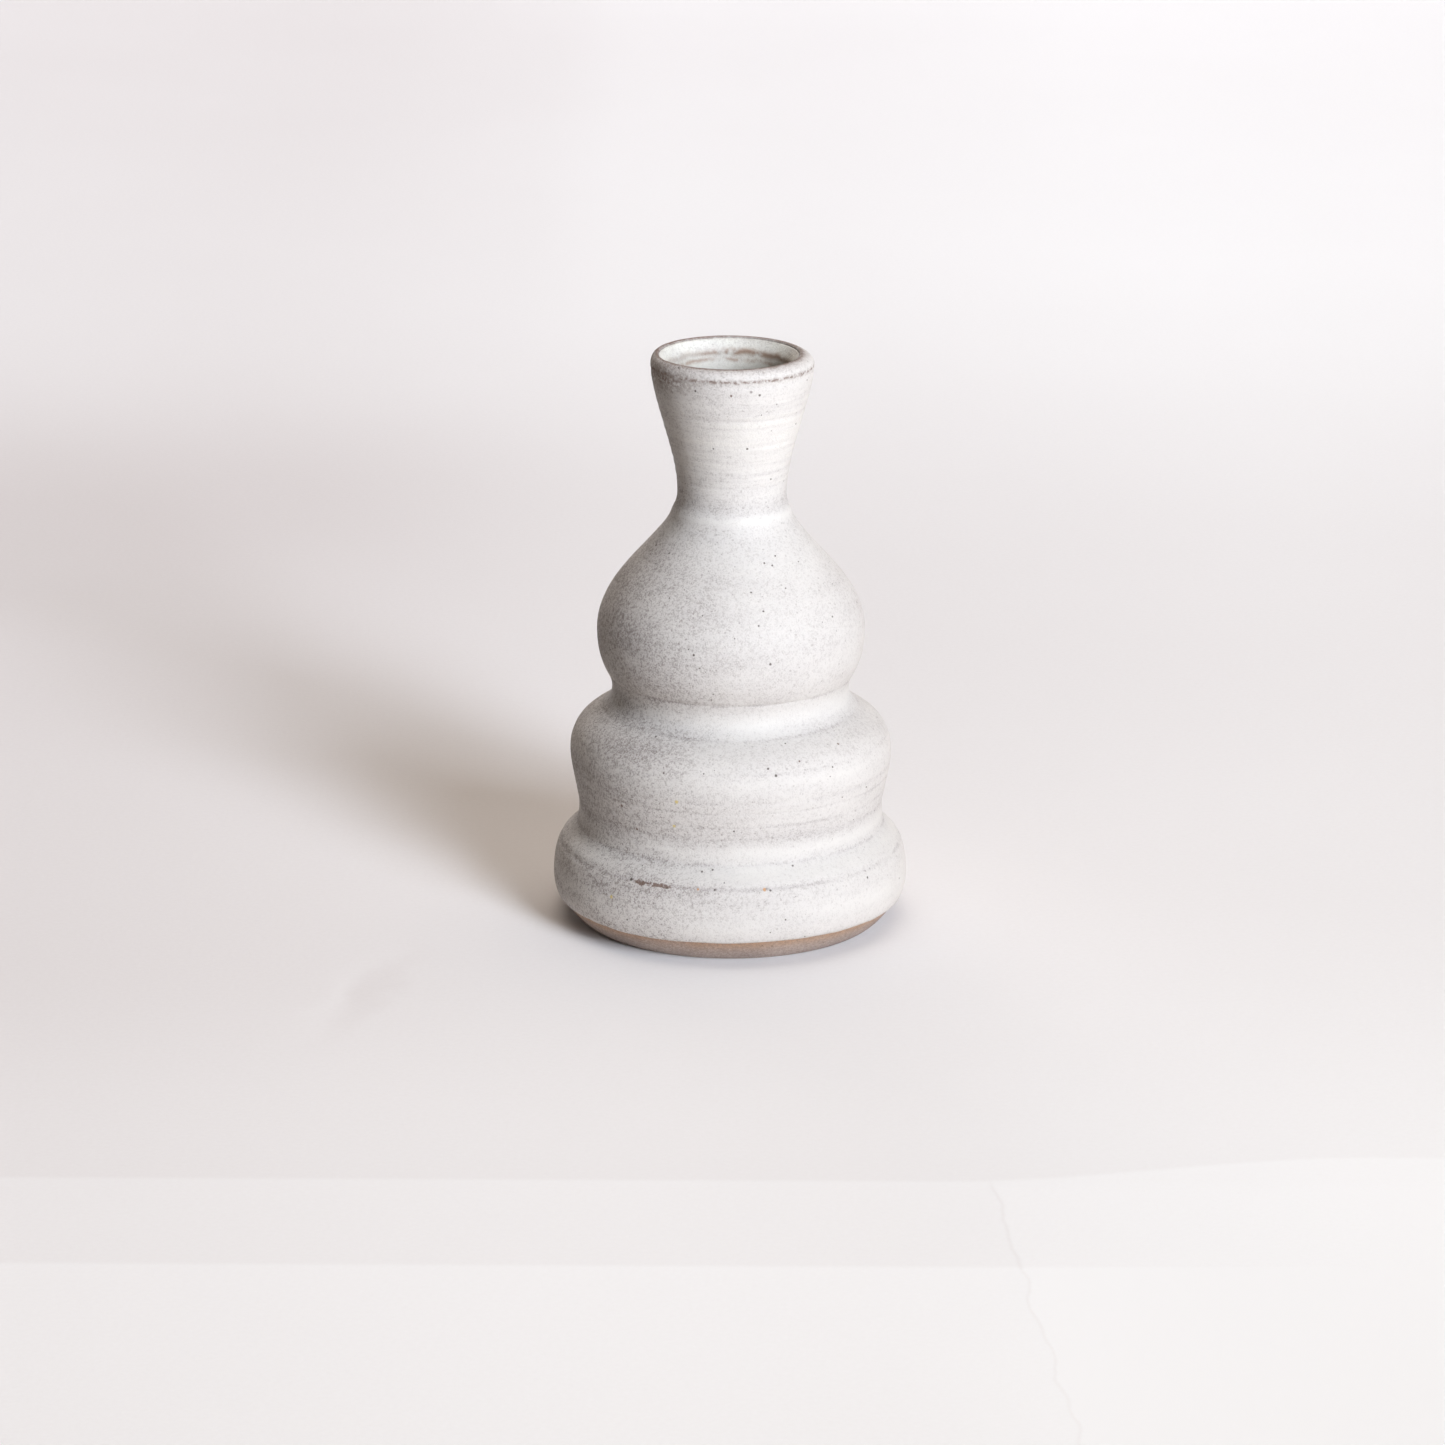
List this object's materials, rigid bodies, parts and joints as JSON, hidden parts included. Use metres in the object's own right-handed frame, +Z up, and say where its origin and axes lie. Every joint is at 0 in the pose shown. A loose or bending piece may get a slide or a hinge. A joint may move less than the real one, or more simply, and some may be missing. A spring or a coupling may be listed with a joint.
{
  "type": "bud vase",
  "caption": "Hand-thrown stoneware bud vase with stepped rounded tiers, a round bulb, a slim throat and a flared neck, white glazed over bare clay at the foot.",
  "frame": {"origin": "centre of the foot ring, on the plane that the vase rests on", "axes": "+Z up the turning axis, from the foot to the mouth; +X and +Y are any two directions across it, because the vase is round"},
  "size_m": [0.0924, 0.0924, 0.15],
  "materials": {
    "stoneware_clay": "matt, unglazed, gritty grey-brown stoneware",
    "white_glaze": "satin off-white, finely stippled with grey, breaking brown on edges",
    "liner_glaze": "satin, pale greenish white, patchy brown near the lip"
  },
  "bodies": {
    "root": {"stoneware_body": "stoneware_clay", "outer_glaze": "white_glaze", "inner_glaze": "liner_glaze"}
  },
  "joints": []
}
